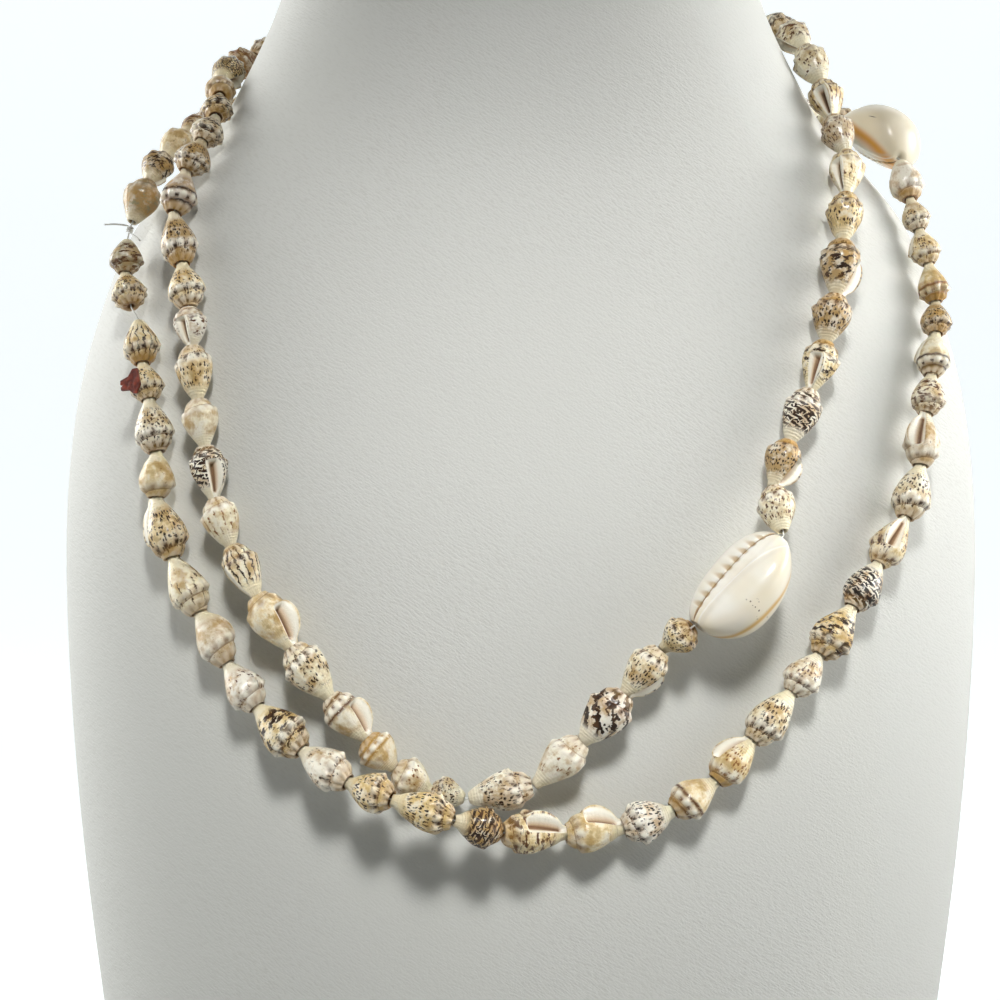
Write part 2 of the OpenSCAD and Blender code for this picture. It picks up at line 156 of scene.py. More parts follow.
cameraSetup = {
    "place": (-4.5, -606.0, 150.0),
    "fieldWidth": 200.0,  # what the frame takes in at the field's distance
    "fieldDistance": 550.0,
    "sensor": 36.0,
    "clip": 0.01,  # in metres
}


def makeCamera(setup):
    data = bpy.data.cameras.new("studioCamera")
    data.sensor_width = setup["sensor"]
    data.lens = setup["sensor"] * setup["fieldDistance"] / setup["fieldWidth"]
    data.clip_start = setup["clip"]
    camera = addToScene("studioCamera", data)
    camera.location = Vector(setup["place"]) * mm
    camera.rotation_euler = (math.pi / 2, 0.0, 0.0)
    scene.camera = camera


lightSetup = [
    # name, place, what it points at, size, beam in degrees, watts
    ("keyBeam", (40, -545, 595), (10, -57, 143), 200, 17.5, 0.123),
    ("softboxRight", (700, -60, 340), (0, -20, 180), 500, 180, 3.8),
    ("softboxLeft", (-700, -60, 320), (0, -20, 170), 500, 180, 1.55),
    ("rimLeft", (-560, 200, 350), (0, 0, 180), 300, 180, 2.4),
    ("edgeRight", (560, 60, 330), (95, -10, 215), 200, 24, 0.06),
]
lampTint = (1.0, 0.995, 0.975)
airSetup = {"tint": (0.93, 0.96, 1.0, 1.0), "strength": 0.012}


def makeLights(setup, air):
    for name, place, target, size, beam, watts in setup:
        data = bpy.data.lights.new(name, "AREA")
        data.shape = "SQUARE"
        data.size = size * mm
        data.spread = math.radians(beam)
        data.energy = watts
        data.color = lampTint
        lamp = addToScene(name, data)
        lamp.location = Vector(place) * mm
        lamp.rotation_euler = (Vector(target) - Vector(place)).to_track_quat("-Z", "Y").to_euler()
    world = bpy.data.worlds.new("studioAir")
    scene.world = world
    world.use_nodes = True
    ground = world.node_tree.nodes["Background"]
    ground.inputs[0].default_value = air["tint"]
    ground.inputs[1].default_value = air["strength"]
    scene.view_settings.view_transform = "Standard"
    scene.view_settings.look = "None"


stageSetup = {
    "halfWidth": 4000.0,
    "front": -3000.0,
    "back": 2600.0,
    "bend": 900.0,  # radius of the sweep from floor to wall
    "bendSteps": 12,
    "top": 4200.0,
    "glowFrom": 40.0,  # the paper glows more and more towards the back
    "glowTo": 320.0,
    "glowTint": (0.93, 0.985, 1.0, 1.0),
    "glow": 0.86,
}
black = (0.0, 0.0, 0.0, 1.0)


def makeStage(setup):
    profile = [(setup["front"], 0.0)]
    for step in range(setup["bendSteps"] + 1):
        turn = math.pi / 2 * step / setup["bendSteps"]
        profile.append((setup["back"] - setup["bend"] + setup["bend"] * math.sin(turn),
                        setup["bend"] * (1 - math.cos(turn))))
    profile.append((setup["back"], setup["top"]))
    side = setup["halfWidth"]
    points = [(x * mm, y * mm, z * mm) for y, z in profile for x in (-side, side)]
    faces = [(2 * i, 2 * i + 1, 2 * i + 3, 2 * i + 2) for i in range(len(profile) - 1)]
    mesh = bpy.data.meshes.new("studioSweep")
    mesh.from_pydata(points, [], faces)
    mesh.shade_smooth()
    sweep = addToScene("studioSweep", mesh)
    paint = Paint("stagePaper")
    place = paint.objectPoint()
    grain = paint.noise(place, 0.02, 3.0)
    colour = paint.mix(tone(190, 192, 192), tone(198, 200, 200), grain)
    _, depth, _ = paint.parts(place)
    glow = paint.mix(black, setup["glowTint"], depth.ramp(setup["glowFrom"], setup["glowTo"]))
    mesh.materials.append(paint.surface(colour, 0.9, Emission_Color=glow,
                                        Emission_Strength=setup["glow"]))


makeCamera(cameraSetup)
makeLights(lightSetup, airSetup)
makeStage(stageSetup)
print("camera, lights and stage are set")


def pointsOf(node):
    mesh = nodes[node].data
    flat = np.zeros(len(mesh.vertices) * 3)
    mesh.vertices.foreach_get("co", flat)
    corners = np.zeros(len(mesh.loops), int)
    mesh.loops.foreach_get("vertex_index", corners)
    points = flat.reshape(-1, 3) / mm
    merged, place = np.unique(np.round(points, 3), axis=0, return_inverse=True)
    return merged, place.ravel()[corners].reshape(-1, 3)


def islandsOf(points, triangles):  # splits a node into its loose solids
    label = np.arange(len(points))
    while True:
        lowest = label[triangles].min(axis=1)
        new = label.copy()
        np.minimum.at(new, triangles.ravel(), np.repeat(lowest, 3))
        new = new[new]
        if (new == label).all():
            break
        label = new
    used = np.unique(triangles)
    return [points[used[label[used] == k]] for k in np.unique(label[used])]


ringReach = 0.75  # points of the thread nearer than this to each other are one ring


def threadStops():  # the middles of the thread's rings, in order from the knot
    points, triangles = pointsOf("thread")
    group = np.full(len(points), -1)
    middles = []
    for i in range(len(points)):
        if group[i] < 0:
            near = (np.linalg.norm(points - points[i], axis=1) < ringReach) & (group < 0)
            group[near] = len(middles)
            middles.append(points[near].mean(axis=0))
    linked = [set() for _ in middles]
    for corners in group[triangles]:
        for a in corners:
            linked[a] |= set(corners) - {a}
    low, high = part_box("knot")
    knotAt = np.array((low + high) / 2) / mm
    order = [int(np.argmin([np.linalg.norm(m - knotAt) for m in middles]))]
    step = min(linked[order[0]], key=lambda k: middles[k][2])
    while step != order[0]:
        order.append(step)
        onward = [k for k in linked[step]
                  if k not in order[-2:] and (k not in order or k == order[0])]
        step = onward[0] if onward else order[0]
    return np.array([middles[k] for k in order])


def unit(v):
    return v / np.linalg.norm(v)


stops = threadStops()
stopsNext = np.roll(stops, -1, axis=0)
halfway = (stops + stopsNext) / 2
beads = []  # link number on the thread, node and solid
for node in ("inner_shells", "outer_shells", "front_cowrie", "shoulder_cowrie"):
    for solid in islandsOf(*pointsOf(node)):
        middle = (solid.min(axis=0) + solid.max(axis=0)) / 2
        beads.append((int(np.argmin(np.linalg.norm(halfway - middle, axis=1))), node, solid))
beads.sort(key=lambda bead: bead[0])
print(len(stops), "stops on the thread,", len(beads), "beads")


cadForm = {
    # how the frame's shells are measured, in shares of their length or radius
    "endFrom": 0.03,  # the narrow end has fewer points in this stretch
    "endTo": 0.12,
    "lipMost": 1.1,
    "lipFrom": 1.03,
    "lipPast": 48,  # degrees from the middle of the mouth to the lip
    "backFrom": 0.9,
}


def threadAxis(link, solid):  # a link's start and way, and how far along it a solid's points lie
    start = stops[link]
    along = unit(stopsNext[link] - start)
    return start, along, (solid - start) @ along


def offAxis(solid, origin, along):
    off = solid - origin
    off = off - np.outer(off @ along, along)
    return off, np.linalg.norm(off, axis=1)


def shellSeat(link, solid):  # origin at the narrow end, axes, length and radius of a shell
    start, along, height = threadAxis(link, solid)
    low, high = height.min(), height.max()
    length = high - low
    skip, span = cadForm["endFrom"] * length, cadForm["endTo"] * length
    nearLow = ((height > low + skip) & (height < low + span)).sum()
    nearHigh = ((height < high - skip) & (height > high - span)).sum()
    origin = start + along * low
    if nearHigh > nearLow:  # the narrow end comes last
        origin, along = start + along * high, -along
    off, reach = offAxis(solid, origin, along)
    radius = reach.max() / cadForm["lipMost"]
    lip = off[reach > cadForm["lipFrom"] * radius]
    guess = unit(lip.mean(axis=0))
    side = np.cross(along, guess)
    turns = np.arctan2(lip @ side, lip @ guess)
    middle = (turns.min() + turns.max()) / 2 - math.radians(cadForm["lipPast"])
    mouth = math.cos(middle) * guess + math.sin(middle) * side
    return origin, mouth, np.cross(along, mouth), along, length, radius


attributeKinds = {1: ("FLOAT", "value"), 3: ("FLOAT_VECTOR", "vector"), 4: ("FLOAT_COLOR", "color")}


def addObject(name, points, faces, attributes, slots, uv=None, faceSlots=None):
    mesh = bpy.data.meshes.new(name)
    mesh.from_pydata((points * mm).tolist(), [], faces.tolist())
    mesh.shade_smooth()
    for key, values in attributes.items():
        kind, field = attributeKinds[1 if values.ndim == 1 else values.shape[1]]
        mesh.attributes.new(key, kind, "POINT").data.foreach_set(field, values.ravel())
    if uv is not None:
        mesh.uv_layers.new(name="whirl").data.foreach_set("uv", uv.ravel())
    for material in slots:
        mesh.materials.append(material)
    if faceSlots is not None:
        mesh.polygons.foreach_set("material_index", faceSlots)
    mesh.update()
    return addToScene(name, mesh)


shellColours = {
    "white": tone(250, 245, 230), "ivory": tone(243, 232, 200), "cream": tone(238, 217, 168),
    "yellow": tone(230, 203, 142), "sand": tone(216, 190, 144), "tan": tone(186, 156, 106),
    "honey": tone(184, 142, 68), "pink": tone(229, 213, 184), "grey": tone(206, 200, 176),
    "green": tone(170, 162, 128), "mauve": tone(196, 174, 152), "tip": tone(246, 236, 204),
    "brown": tone(92, 56, 30), "rust": tone(136, 90, 44), "umber": tone(46, 27, 14),
    "black": tone(26, 18, 16), "purple": tone(88, 60, 54),
}

# number on the thread: pattern, ground, marks, white shoulder, honey spire, marks' weight, knobs,
# and how far the lip stands out where that isn't usualWing
shellLooks = {
    0: ("blots", "green", "brown", 0.1, 0.0, 0.5, 0.1),
    1: ("dots", "cream", "umber", 0.5, 0.5, 1.0, 1.2),
    2: ("lines", "cream", "umber", 0.4, 1.0, 1.0, 0.7),
    3: ("dots", "cream", "umber", 0.5, 0.2, 0.9, 0.3, 0.5),
    4: ("dots", "ivory", "umber", 0.9, 0.3, 0.9, 0.3),
    5: ("plain", "cream", "rust", 0.3, 0.2, 0.2, 0.0, 1.0),
    6: ("dots", "cream", "umber", 0.1, 0.2, 0.9, 0.1, 1.0),
    7: ("lines", "ivory", "umber", 0.3, 0.2, 0.12, 0.3),
    8: ("plain", "pink", "rust", 0.6, 0.3, 0.2, 0.0, 1.0),
    9: ("dots", "white", "brown", 0.5, 0.0, 0.15, 0.6),
    10: ("blots", "cream", "umber", 0.8, 0.2, 0.6, 1.0),
    11: ("dots", "white", "umber", 0.6, 0.3, 0.25, 0.6, 0.4),
    12: ("dots", "yellow", "umber", 0.4, 0.3, 0.9, 0.6),
    13: ("dots", "yellow", "umber", 0.3, 0.2, 1.0, 0.9, 1.0),
    14: ("zigzag", "tan", "umber", 0.0, 0.1, 1.0, 0.2),
    15: ("blots", "cream", "brown", 0.1, 0.3, 0.55, 0.4, 1.0),
    16: ("plain", "cream", "rust", 0.2, 0.2, 0.3, 0.2, 1.0),
    17: ("dots", "white", "black", 0.5, 0.0, 0.9, 0.9),
    18: ("bands", "cream", "brown", 0.9, 0.6, 0.7, 0.5, 0.5),
    19: ("dots", "cream", "rust", 0.5, 0.9, 0.6, 0.2, 0.8),
    20: ("dots", "ivory", "umber", 1.0, 0.2, 0.9, 0.8),
    21: ("dots", "white", "purple", 0.9, 0.0, 0.5, 0.6),
    22: ("blots", "yellow", "umber", 0.5, 0.1, 0.6, 1.2),
    23: ("zigzag", "white", "black", 0.0, 0.0, 1.0, 0.2, 0.4),
    24: ("dots", "cream", "purple", 0.3, 0.2, 0.7, 0.2, 1.0),
    25: ("dots", "ivory", "umber", 0.9, 0.3, 0.8, 0.4),
    26: ("plain", "pink", "brown", 0.5, 0.1, 0.3, 0.1, 1.0),
    27: ("blots", "ivory", "brown", 0.3, 0.1, 0.5, 0.3, 0.5),
    28: ("bands", "ivory", "umber", 0.8, 0.2, 0.8, 0.4, 0.8),
    29: ("dots", "tan", "umber", 0.3, 0.5, 0.8, 0.3),
    30: ("bands", "cream", "rust", 0.1, 1.0, 0.9, 1.2),
    31: ("dots", "cream", "brown", 0.4, 0.2, 0.5, 0.4, 0.4),
    32: ("dots", "ivory", "umber", 0.4, 0.1, 0.6, 0.3, 0.4),
    33: ("plain", "white", "brown", 0.7, 0.8, 0.3, 0.3),
    51: ("plain", "sand", "brown", 0.1, 0.8, 0.4, 0.0),
    52: ("blots", "yellow", "umber", 0.2, 0.6, 0.6, 0.3),
    53: ("blots", "ivory", "umber", 0.3, 0.2, 0.5, 0.3),
    54: ("dots", "tan", "umber", 0.5, 0.3, 0.9, 0.8),
    55: ("bands", "mauve", "umber", 0.9, 0.7, 0.8, 0.4),
    56: ("dots", "tan", "umber", 0.8, 0.9, 0.9, 0.5),
    57: ("dots", "cream", "umber", 0.9, 0.1, 0.8, 0.3),
    58: ("blots", "white", "brown", 0.5, 0.0, 0.35, 0.1, 0.7),
    59: ("dots", "cream", "umber", 0.8, 0.2, 0.6, 0.5),
    60: ("plain", "ivory", "sand", 0.5, 0.0, 0.1, 0.0),
    61: ("zigzag", "white", "umber", 0.2, 0.0, 1.0, 0.3, 0.8),
    62: ("lines", "ivory", "rust", 0.9, 0.1, 0.3, 0.5, 0.4),
    63: ("lines", "ivory", "umber", 0.1, 0.3, 1.0, 0.3, 0.8),
    64: ("plain", "cream", "tan", 0.0, 0.1, 0.5, 0.1, 1.0),
    65: ("dots", "ivory", "umber", 0.9, 0.0, 0.6, 1.2),
    66: ("bands", "ivory", "brown", 0.8, 0.0, 0.6, 0.4, 1.0),
    67: ("bands", "cream", "honey", 0.9, 0.7, 0.6, 0.4),
    68: ("dots", "ivory", "rust", 0.9, 0.2, 0.3, 0.5),
    69: ("dots", "grey", "umber", 0.3, 0.0, 0.9, 0.3),
    70: ("dots", "white", "umber", 0.5, 0.0, 0.6, 0.8),
    71: ("dots", "white", "rust", 0.9, 0.0, 0.3, 0.3),
    72: ("zebra", "white", "umber", 0.0, 0.0, 1.0, 0.8),
    73: ("dots", "ivory", "umber", 0.6, 0.1, 0.8, 0.4, 1.0),
    74: ("dots", "cream", "umber", 0.2, 0.3, 1.0, 0.3),
    76: ("dots", "ivory", "brown", 0.9, 0.1, 0.8, 0.4),
    77: ("dots", "tan", "umber", 0.2, 0.6, 0.8, 0.2, 1.0),
    78: ("zigzag", "white", "umber", 0.7, 0.0, 0.8, 0.4),
    79: ("blots", "cream", "umber", 0.3, 0.7, 0.5, 0.3, 0.8),
    80: ("dots", "tan", "umber", 0.2, 0.2, 1.0, 0.5, 0.6),
    81: ("blots", "tan", "umber", 0.3, 0.3, 0.55, 0.5, 1.0),
    82: ("dots", "yellow", "umber", 0.2, 0.4, 0.8, 0.4),
    83: ("lines", "cream", "brown", 0.3, 0.2, 0.3, 0.2, 0.8),
    84: ("dots", "pink", "brown", 0.3, 0.4, 0.8, 0.3),
    85: ("lines", "cream", "brown", 0.2, 0.3, 0.7, 0.4, 0.8),
    86: ("dots", "ivory", "brown", 0.3, 0.2, 0.4, 0.4),
    87: ("blots", "ivory", "brown", 0.4, 0.4, 0.5, 0.3),
    103: ("blots", "tan", "brown", 0.1, 0.2, 0.6, 0.1),
    104: ("plain", "cream", "brown", 0.1, 0.1, 0.3, 0.1),
    105: ("blots", "tan", "umber", 0.2, 0.3, 0.5, 0.3),
    106: ("blots", "tan", "green", 0.3, 0.1, 0.4, 0.0),
}
usualWing = 0.3
shellKinds = ["plain", "dots", "net", "lines", "blots", "bands", "zigzag", "zebra"]

shellForm = {
    # radius at a height, both as shares, from the narrow end to the ground top
    "slender": [(0, 0.26), (0.05, 0.36), (0.15, 0.49), (0.25, 0.63), (0.34, 0.76), (0.44, 0.89),
                (0.53, 0.97), (0.61, 1.0), (0.69, 0.98), (0.77, 0.91), (0.85, 0.79), (0.92, 0.66),
                (1.0, 0.46)],
    "stout": [(0, 0.26), (0.05, 0.4), (0.15, 0.58), (0.25, 0.71), (0.35, 0.82), (0.45, 0.92),
              (0.55, 0.98), (0.63, 1.0), (0.7, 0.98), (0.77, 0.91), (0.85, 0.79), (0.92, 0.66),
              (1.0, 0.47)],
    "lipEdge": [(0, 0.36), (0.06, 0.56), (0.16, 0.86), (0.3, 1.08), (0.42, 1.17), (0.54, 1.16),
                (0.64, 1.06), (0.72, 0.95)],
    "lipTop": 0.7,  # where the lip meets the whorl above it, as a share of the length
    "turnRise": 0.235,  # rise of the seam in one turn
    "seamDepth": 0.1,
    "seamWidth": 0.17,  # these widths and heights under the seam are shares of a rise
    "footWidth": 0.12,
    "shoulder": 0.045,  # swelling under the seam
    "shoulderAt": 0.4,
    "shoulderWidth": 0.22,
    "knobDepth": 0.105,
    "knobWidth": 0.27,
    "knobs": 9,
    "ribDepth": 0.03,
    "lumpsLeast": 0.35,  # knobs and ribs of a smooth shell, and what a knobbly one has more
    "lumpsMore": 0.75,
    "wingWidth": 0.42,  # how far past its edge the lip stands out, in radians
    "wingMost": 1.18,
    "lipBow": 0.17,  # the lip's edge bows outwards by this angle
    "mouthStart": -27.0,  # the mouth's two edges round the axis, in degrees from its middle
    "mouthEnd": 21.0,
    "wall": 0.2,  # least shell round the bore
    "boreRadius": 0.65,
    "shrink": 0.07,  # a turn back, the whorl is this much narrower
}


def easeStep(a, b, x):
    t = np.clip((x - a) / (b - a), 0, 1)
    return t * t * (3 - 2 * t)


def ringFaces(rows, columns):  # closes a grid of points both ways, like a doughnut
    i, j = np.meshgrid(np.arange(rows), np.arange(columns), indexing="ij")
    i2, j2 = (i + 1) % rows, (j + 1) % columns
    corners = [i * columns + j, i * columns + j2, i2 * columns + j2, i2 * columns + j]
    return np.stack(corners, axis=-1).reshape(-1, 4)


def shellPart(length, radius, look, seed, reachIn, hole):
    form = shellForm
    rng = random.Random(seed)
    kind, ground, marks, white, honey, weight, knob, wing = look
    lipTop = form["lipTop"] + rng.uniform(-0.02, 0.02)
    rise = form["turnRise"] * rng.uniform(0.88, 1.15)
    stout = rng.uniform(0.1, 1.0)
    knobs = form["knobs"] + rng.choice([-1, 0, 0, 1])
    lumps = form["lumpsLeast"] + form["lumpsMore"] * knob
    # heights of the rings, closer together over the whorls
    outer = np.concatenate([[0.008], np.linspace(0.04, 0.52, 9), np.linspace(0.555, 0.982, 17)])
    # angle past the lip's edge, round the back to the pillar, then across the mouth
    mouthWide = form["mouthEnd"] - form["mouthStart"]
    back = np.concatenate([[0, 2.5, 7, 13], np.linspace(20, 360 - mouthWide, 36)])
    across = np.array([0.06, 0.16, 0.3, 0.46, 0.62, 0.78, 0.9, 0.975])  # from pillar to lip
    psi = np.radians(np.concatenate([back, 360 - mouthWide + mouthWide * across]))
    columns = len(psi)
    inMouth = np.concatenate([np.zeros(len(back)), across])
    z, turn = np.meshgrid(outer, psi, indexing="ij")

    fine = np.linspace(0, 1, 401)
    sharp = (stout * np.interp(fine, *zip(*form["stout"])) +
             (1 - stout) * np.interp(fine, *zip(*form["slender"])))
    kernel = np.hanning(33) / np.hanning(33).sum()
    padded = np.pad(sharp, 16, mode="reflect", reflect_type="odd")
    smoothed = np.convolve(padded, kernel, mode="valid")
    env = np.interp(z, fine, smoothed)

    rises = (z - lipTop) / rise - turn / (2 * np.pi)  # whole numbers lie on the seam
    whorl = np.maximum(0, np.ceil(rises))
    below = whorl - rises  # distance under the seam above, in rises
    turns = whorl + turn / (2 * np.pi)
    seam = form["seamDepth"]
    size = env * (1 - form["shrink"] * np.minimum(turns, 1))
    underSeam = below - form["shoulderAt"]
    size *= 1 - seam * np.exp(-(below / form["seamWidth"]) ** 2)
    foot = 0.4 * seam * np.exp(-((1 - below) / form["footWidth"]) ** 2)
    size *= 1 - np.where(whorl > 0, foot, 0)
    size *= 1 + form["shoulder"] * (np.exp(-(underSeam / form["shoulderWidth"]) ** 2) - 0.5)
    ribs = np.cos(knobs * 2 * np.pi * turns)
    knobby = form["knobDepth"] * lumps * (ribs - 0.5)
    size *= 1 + knobby * np.exp(-(underSeam / form["knobWidth"]) ** 2)
    size *= 1 + form["ribDepth"] * lumps * ribs * easeStep(0.15, 0.45, z)
    # the outer lip stands out as a thin wing
    reach = np.interp(z, *zip(*form["lipEdge"])) - size
    lipWindow = (1 - easeStep(lipTop - 0.08, lipTop + 0.01, z)) * (turn < 5.5)
    share = wing * np.exp(-(turn / form["wingWidth"]) ** 1.5) * lipWindow
    size = np.minimum(size + np.maximum(reach, 0) * share, form["wingMost"])

    # the mouth: from the pillar down to its floor and up the inside of the lip
    opened = easeStep(0.0, 0.09, z) * (1 - easeStep(lipTop - 0.1, lipTop - 0.01, z))
    u = inMouth[None, :] * np.ones_like(z)
    pillar = size[:, len(back) - 1][:, None]
    edge = size[:, 0][:, None]
    plain = pillar + (edge - pillar) * u
    floor = np.interp(u, [0, *across, 1], [1, 0.95, 0.83, 0.66, 0.52, 0.45, 0.42, 0.44, 0.72, 1])
    floor = np.where(u > 0.95, edge * floor, pillar * floor)
    lowest = (form["boreRadius"] + form["wall"]) / radius
    hollow = np.maximum(plain * (1 - opened) + floor * opened, lowest)
    size = np.where(u > 0, np.where(z < lipTop, hollow, size), size)
    # how deep into the mouth a point lies; the paint darkens the deepest part as painted shade
    shade = np.interp(u, [0, 0.1, 0.4, 0.9, 1], [0, 0.15, 0.9, 1, 0.25])
    inside = np.where(u > 0, opened * shade, 0)

    # ground top, drilled hole and narrow end close the skin: height, size, place in the paint
    bore = form["boreRadius"] / radius
    ends = np.array([
        (0.998, 0.445, 1.0), (0.996, hole + 0.015, 1.01), (0.98, hole, 1.03), (0.905, hole, 1.05),
        (0.9, bore, 1.06), (0.05, bore, 1.07),
        (0.006 - reachIn, bore + 0.03, -0.02), (-reachIn, 0.225, -0.01)])
    heights = np.vstack([z, np.repeat(ends[:, :1], columns, axis=1)])
    heights[0] -= reachIn  # the spout reaches in to the ground hollow of the shell before it
    sizes = np.vstack([size, np.repeat(ends[:, 1:2], columns, axis=1)])
    along = np.concatenate([outer, ends[:, 2]])
    angle = math.radians(form["mouthEnd"]) + psi
    bow = form["lipBow"] * np.sin(np.pi * np.clip(outer / lipTop, 0, 1))
    bow = np.concatenate([bow, np.zeros(len(ends))])
    angles = angle[None, :] + bow[:, None] * np.exp(-psi / 0.9)[None, :]
    points = np.stack([sizes * radius * np.cos(angles), sizes * radius * np.sin(angles),
                       heights * length], axis=-1)
    rows = len(heights)
    faces = ringFaces(rows, columns)
    i, j = np.meshgrid(np.arange(rows), np.arange(columns), indexing="ij")
    # the pattern's own coordinates: turns past the lip, and rises over the seam
    past = psi / (2 * np.pi)
    pastNext = np.append(past[1:], 1.0)
    over = (np.concatenate([outer, np.minimum(ends[:, 0], 1)]) - lipTop) / rise
    overNext = np.append(over[1:], over[0])
    corners = [(past, over), (pastNext, over), (pastNext, overNext), (past, overNext)]
    uv = np.stack([np.stack([a[j], b[i] - a[j]], -1) for a, b in corners], axis=2).reshape(-1, 2)
    count = rows * columns
    flat = points.reshape(-1, 3)
    shift = np.array([rng.uniform(-50, 50) for _ in range(3)])
    insideAll = np.vstack([inside, np.zeros((len(ends), columns))]).ravel()
    lightness = rng.uniform(0.93, 1.04)
    warmth = lightness * rng.uniform(0.95, 1.03)
    tint = np.array(shellColours[ground]) * [lightness, lightness, warmth, 1]
    return {
        "points": flat, "faces": faces, "uv": uv, "kind": shellKinds.index(kind),
        "local": flat + shift, "along": np.repeat(along, columns), "inside": insideAll,
        "tint": np.tile(np.minimum(tint, 1), (count, 1)),
        "mark": np.tile(shellColours[marks], (count, 1)),
        "dress": np.tile([white, honey, weight], (count, 1)),
        "whim": np.full(count, rng.random()), "knobs": np.full(count, float(knobs)),
    }


def shellPaint(kind):
    paint = Paint("shell" + kind.capitalize())
    hue = shellColours
    whirl = paint.node("ShaderNodeUVMap", {"uv_map": "whirl"})
    turn, rises, _ = paint.parts(whirl)
    local = paint.attribute("local", "Vector")
    along = paint.attribute("along")
    inside = paint.attribute("inside")
    whim = paint.attribute("whim")
    tint = paint.attribute("tint", "Color")
    mark = paint.attribute("mark", "Color")
    white, honey, weight = paint.parts(paint.attribute("dress", "Vector"))
    whorl = rises.ceil().high(0.0)
    below = whorl - rises
    cloud = paint.noise(local, 0.45, 3.0, 0.6)
    speckle = paint.noise(local, 1.6, 3.0, 0.65)
    wobble = paint.noise(local, 0.9, 2.0) - 0.5

    def stripes(wave, start, end):  # one for each whole number of the wave
        return 1 - (abs(wave.fract() - 0.5) + (speckle - 0.5) * 0.2).ramp(start, end)

    # where marks are drawn: not on the narrow tip, and more of them where the weight is higher
    body = along.ramp(0.12, 0.26) * (1 - along.ramp(0.93, 0.99))
    around = turn + whorl
    knobTurn = around * paint.attribute("knobs") * math.tau
    knobTop = (knobTurn + math.pi / 2).sine() * 0.5 + 0.5
    sparse = 0.62 - weight * 0.27
    if kind == "dots":
        spot = paint.cells(paint.point(around * 32 + wobble * 1.2, below * 2.2 + wobble), 1.0,
                           "F1", 0.65)
        spot = spot + (speckle - 0.5) * 1.4
        marks = (paint.noise(local, 0.6, 1.0) - sparse).ramp(-0.02, 0.06)
        marks = (1 - spot.ramp(0.16, 0.38)) * marks
    elif kind == "net":
        net = paint.cells(paint.point(around * 24 + wobble * 2.0, below * 4.4 + wobble * 1.6), 1.0,
                          "DISTANCE_TO_EDGE", 1.0)
        marks = 1 - (net + (speckle - 0.5) * 0.6).ramp(0.05, 0.26)
        marks = marks * (cloud - sparse + 0.12).ramp(-0.05, 0.06)
    elif kind == "lines":
        marks = stripes(around * 15 + wobble * 1.3, 0.06, 0.18)
        marks = marks * (cloud - sparse + 0.05).ramp(-0.04, 0.05)
    elif kind == "blots":
        marks = paint.noise(paint.point(around * 13, below * 2.8, whim * 40), 1.0, 3.0, 0.65)
        marks = (marks - sparse).ramp(0.01, 0.1)
    elif kind == "bands":
        marks = (below + wobble * 0.35).hump(0.86, 0.3)
        marks = marks * (speckle - sparse + 0.08).ramp(-0.02, 0.06)
    elif kind == "zigzag":
        zig = abs((below * 1.7 + wobble * 1.5).fract() - 0.5)
        marks = stripes(around * 8 + zig * 1.7 + wobble * 1.7, 0.24, 0.32)
    elif kind == "zebra":
        marks = stripes(around * 6.5 - below * 0.7 + wobble * 1.5, 0.18, 0.28)
    else:
        marks = speckle.ramp(0.62, 0.68) * 0.6
    marks = marks * body

    # pale knobs and shoulder, stains, and a brown painted shade in the hollows between the knobs
    stain = paint.noise(local, 0.3, 2.0).ramp(0.5, 0.64)
    stain = (speckle.ramp(0.52, 0.7) * 0.2 + stain * 0.55) * body
    hollowShade = (1 - knobTop) * below.hump(0.3, 0.5) * along.ramp(0.3, 0.5)
    shoulder = below.hump(0.42, 0.46) * (white * 1.3 + 0.1).low(1.0) * (0.4 + knobTop * 0.6)
    mark = paint.mix(mark, hue["rust"], cloud.ramp(0.45, 0.7) * 0.3)
    # dark marks between the shoulder's knobs, partly the pattern's colour and partly painted shade
    # in the gaps
    gapMarksAndShade = (1 - knobTop).ramp(0.6, 0.85) * speckle.ramp(0.36, 0.5)
    gapMarksAndShade = gapMarksAndShade * below.hump(0.24, 0.26) * (weight * 1.3).low(1.0)
    # inside the mouth: white near the edges, the lining's tan, and a dark brown painted shade
    # deepest in the mouth
    liningAndShade = paint.mix(tone(206, 180, 146), tone(128, 96, 70), inside.ramp(0.75, 1.0))
    liningAndShade = paint.mix(hue["white"], liningAndShade, inside.ramp(0.4, 0.9))
    rim = (1 - turn.ramp(0.006, 0.022)) * (1 - rises.ramp(-0.3, 0.0))  # the lip's pale edge
    colour = paint.layers(
        tint,
        (hue["tan"], cloud.ramp(0.46, 0.66) * 0.7 * body),
        (hue["white"], (0.55 - cloud).ramp(0.0, 0.2) * 0.7),
        (hue["honey"], stain),
        (hue["tip"], (1 - along.ramp(0.06, 0.26)) * 0.7),
        # painted shade: rust in the hollows between the knobs
        (hue["rust"], hollowShade * (0.35 + weight * 0.4)),
        (hue["white"], shoulder),
        (mark, marks * (1 - shoulder * 0.85)),
        # marks and painted shade in the gaps between the shoulder's knobs
        (mark, gapMarksAndShade),
        (hue["honey"], along.ramp(0.8, 0.93) * (0.25 + honey * 0.65)),
        # painted shade: rust in the seam's groove under each whorl
        (hue["rust"], (1 - below.ramp(0.0, 0.14)) * 0.5),
        (hue["rust"], along.ramp(0.99, 1.01) * (0.5 + honey * 0.4)),
        (hue["brown"], along.ramp(1.01, 1.04) * 0.5),
        # the mouth's lining, with its painted shade
        (liningAndShade, inside.ramp(0.03, 0.2)),
        (hue["white"], rim * 0.9))

